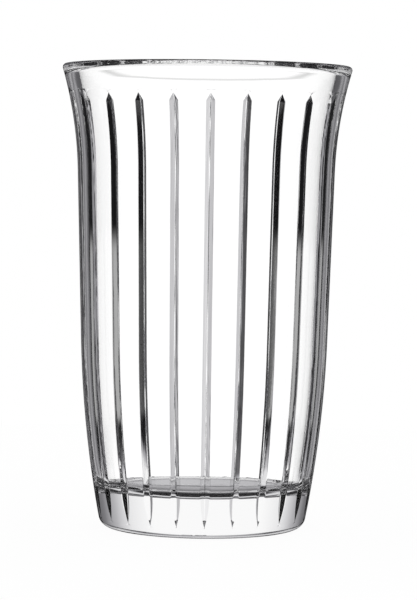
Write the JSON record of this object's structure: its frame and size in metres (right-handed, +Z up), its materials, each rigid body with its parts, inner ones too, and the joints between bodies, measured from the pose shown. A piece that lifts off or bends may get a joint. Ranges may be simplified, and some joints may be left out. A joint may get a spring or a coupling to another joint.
{
  "type": "highball glass",
  "caption": "Tall clear drinking glass with a flared rim, upright V cuts round the outside and a thick foot that it stands on.",
  "frame": {"origin": "centre of the foot, in the plane that the glass stands on", "axes": "+Z up along the axis of the glass, from the foot to the rim; -Y towards the viewer, through one of the cuts"},
  "size_m": [0.0826, 0.0826, 0.132],
  "materials": {
    "clear_glass": "clear, smooth, fire-polished pressed glass"
  },
  "bodies": {
    "root": {"tumbler": "clear_glass"}
  },
  "joints": []
}
